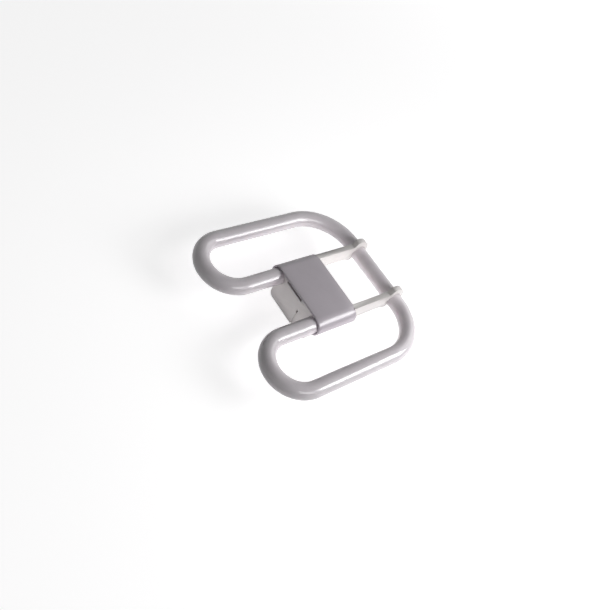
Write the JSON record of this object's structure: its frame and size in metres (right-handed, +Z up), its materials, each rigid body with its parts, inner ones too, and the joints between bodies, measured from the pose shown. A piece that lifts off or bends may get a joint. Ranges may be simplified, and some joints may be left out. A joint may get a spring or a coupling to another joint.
{
  "type": "square compact fluorescent lamp",
  "caption": "Flat square fluorescent lamp: one sealed bent tube in two lobes, a moulded cap with recessed contact pins, and support arms that clip over the far side.",
  "frame": {"origin": "middle of the whole lamp in plan, on the plane of the cap's seating face", "axes": "+Z up from the seating face to the tube's plane, +Y towards the side with the clips, +X across the two legs"},
  "size_m": [0.141, 0.1401, 0.0324],
  "materials": {
    "coated_glass": "gloss glass over a white powder coating on its inside, so it is opaque",
    "cover_plastic": "moulded white plastic, satin",
    "base_plastic": "moulded off-white plastic, satin",
    "pin_metal": "nickel-plated brass",
    "cement": "hard cement, matt",
    "starter_glass": "clear blown glass",
    "capacitor_case": "dipped resin",
    "wire_metal": "tinned copper"
  },
  "bodies": {
    "root": {"discharge_tube": "coated_glass", "cap_cover": "cover_plastic", "cap_base": "base_plastic", "contact_pin_left": "pin_metal", "contact_pin_right": "pin_metal", "cement_left": "cement", "cement_right": "cement", "starter_bulb": "starter_glass", "capacitor": "capacitor_case", "pin_wire_left": "wire_metal", "pin_wire_right": "wire_metal", "starter_wire_left": "wire_metal", "starter_wire_right": "wire_metal", "capacitor_wire_left": "wire_metal", "capacitor_wire_right": "wire_metal"}
  },
  "joints": []
}
